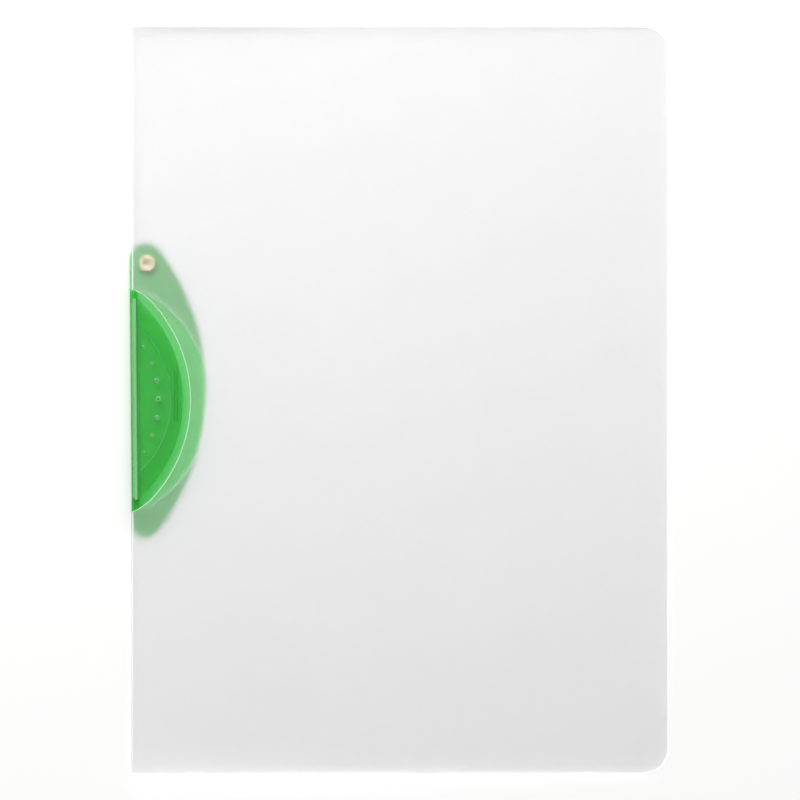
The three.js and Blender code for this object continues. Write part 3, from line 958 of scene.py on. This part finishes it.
# %% Grained strip along the bend, and painted highlights on it and on the raised forms
GRAIN_START = 1.45  # from the outermost line of the bend
GRAIN_END = 2.6
GRAIN_DEPTH = 0.6  # the strip's faces lie no deeper than this under the top of the bend
UPWARD = 0.5  # how far a face must look up to be on top of the bend
PANEL_START = 0.2  # the panel's faces are farther than this past the bend
PANEL_SLACK = 0.1  # and no farther than this outside its arc
RELIEF_LOWEST = 2.9  # the panel and its pimples lie higher than this over the table
RELIEF_FLATTEST = 0.99  # raised forms are the faces that don't lie flat
RELIEF_STEEPEST = 0.1
across_way = clip_turn @ Vector((1, 0, 0))
up_clip = clip_turn @ Vector((0, 1, 0))
pivot_row = clip_to_row((0, 0, 0))


def across_clip(point):
    return (point - pivot_row).dot(across_way) / MM


bm = bmesh.new()
bm.from_mesh(clip.data)
for x in (GRAIN_START - BACK_X, GRAIN_END - BACK_X):
    bmesh.ops.bisect_plane(
        bm, geom=bm.verts[:] + bm.edges[:] + bm.faces[:], dist=1e-7,
        plane_co=clip_to_row((x, 0, 0)), plane_no=across_way)
clip.data.materials.append(grain_and_highlight_finish)
clip.data.materials.append(relief_painted_highlight_finish)
finish_count = len(clip.data.materials)
strip_low = clip_to_row((0, cheek_low, 0)).y
strip_high = clip_to_row((0, cheek_high, 0)).y
grained = raised = 0
# Faces on top of the bend get the grained finish, whose paler green is a painted highlight.
for face in bm.faces:
    middle = face.calc_center_median()
    across = across_clip(middle)
    on_strip = GRAIN_START < across + BACK_X < GRAIN_END and strip_low < middle.y < strip_high
    if on_strip and face.normal.z > UPWARD and middle.z > (CLIP_TOP - GRAIN_DEPTH) * MM:
        face.material_index = finish_count - 2
        grained += 1
    # Leaning faces of the panel's step and its pimples get the relief finish, a painted highlight.
    along = (middle - pivot_row).dot(up_clip) / MM
    from_middle = Vector((across - panel_centre, along + UPPER_MIDDLE)).length
    on_panel = across > cheek_x + PANEL_START and from_middle < PANEL_RADIUS + PANEL_SLACK
    leans = RELIEF_STEEPEST < face.normal.z < RELIEF_FLATTEST
    if on_panel and leans and middle.z > RELIEF_LOWEST * MM:
        face.material_index = finish_count - 1
        raised += 1
bm.to_mesh(clip.data)
bm.free()
smooth(clip)
print(f"grained strip: {grained} faces, raised forms: {raised}, of {len(clip.data.polygons)}")


# %% [markdown]
# The eyelet is one stamped tube of thin brass. A press widens its head to a flange over the
# sheet and rolls its foot outwards under the clip's ear, which leaves the ear free to turn. A
# tube of this kind is a profile spun round a line, so it is made that way.

# %% Eyelet
def lathe(name, profile, steps, place, finish):
    """Spins a closed profile of (radius, height) round an upright line at place."""
    bm = bmesh.new()
    rings = []
    for step in range(steps):
        turn = 2 * math.pi * step / steps
        rings.append([
            bm.verts.new(to_row((
                place.x + r * math.cos(turn), place.y + r * math.sin(turn), z)))
            for r, z in profile
        ])
    count = len(profile)
    for step in range(steps):
        here, there = rings[step], rings[(step + 1) % steps]
        for i in range(count):
            j = (i + 1) % count
            bm.faces.new((here[i], there[i], there[j], here[j]))
    bmesh.ops.recalc_face_normals(bm, faces=bm.faces[:])
    return mesh_object(name, bm, finish)


EYELET_BORE = 1.75
EYELET_FLANGE = 3.3
FLANGE_HEIGHT = 0.4
ROLL_HEIGHT = 0.4
ROLL_LIFT = 0.05  # from the table to the rolled end
BORE_LIP = 0.1  # the bore's foot is broken by this much
seat = BACK_UNDERSIDE + SHEET + SEAT_GAP
crown = seat + FLANGE_HEIGHT
roll_top = ROLL_LIFT + ROLL_HEIGHT
lip = FLANGE_HEIGHT / 2
roll = ROLL_HEIGHT / 2
roll_middle = (EYELET_ROLL - roll, roll_top - roll)
profile = [Vector((EYELET_BORE, ROLL_LIFT + BORE_LIP)), Vector((EYELET_BORE, crown - lip))]
profile += arc((EYELET_BORE + lip, crown - lip), lip, math.pi, math.pi / 2, 10)[1:]
profile += arc((EYELET_FLANGE - lip, crown - lip), lip, math.pi / 2, 0, 10)
profile += [Vector((EYELET_FLANGE, seat)), Vector((EYELET_BARREL, seat))]
profile += [Vector((EYELET_BARREL, roll_top))]
profile += arc(roll_middle, roll, math.pi / 2, -math.pi / 2, 12)
profile += [Vector((EYELET_BORE + BORE_LIP, ROLL_LIFT))]
eyelet = lathe("eyelet", profile, 96, PIVOT, brass_finish)
smooth(eyelet)
print("eyelet:", triangles(eyelet), "triangles")


# %% Ride and replace
clip.name = "moulded_clip"
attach(back_sheet, "back")
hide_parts("back_cover", "upper_spine", "lower_spine")

to_row((spine_end_x, 0, HINGE_Z))
to_row((front_start, 0, HINGE_Z))
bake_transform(front_sheet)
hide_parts("front_cover")

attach(clip, "clip")
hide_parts("swing_clip")

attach(eyelet, "back")
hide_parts("pivot_eyelet")
print("pieces ride on their bodies")


# %% End
print("done")
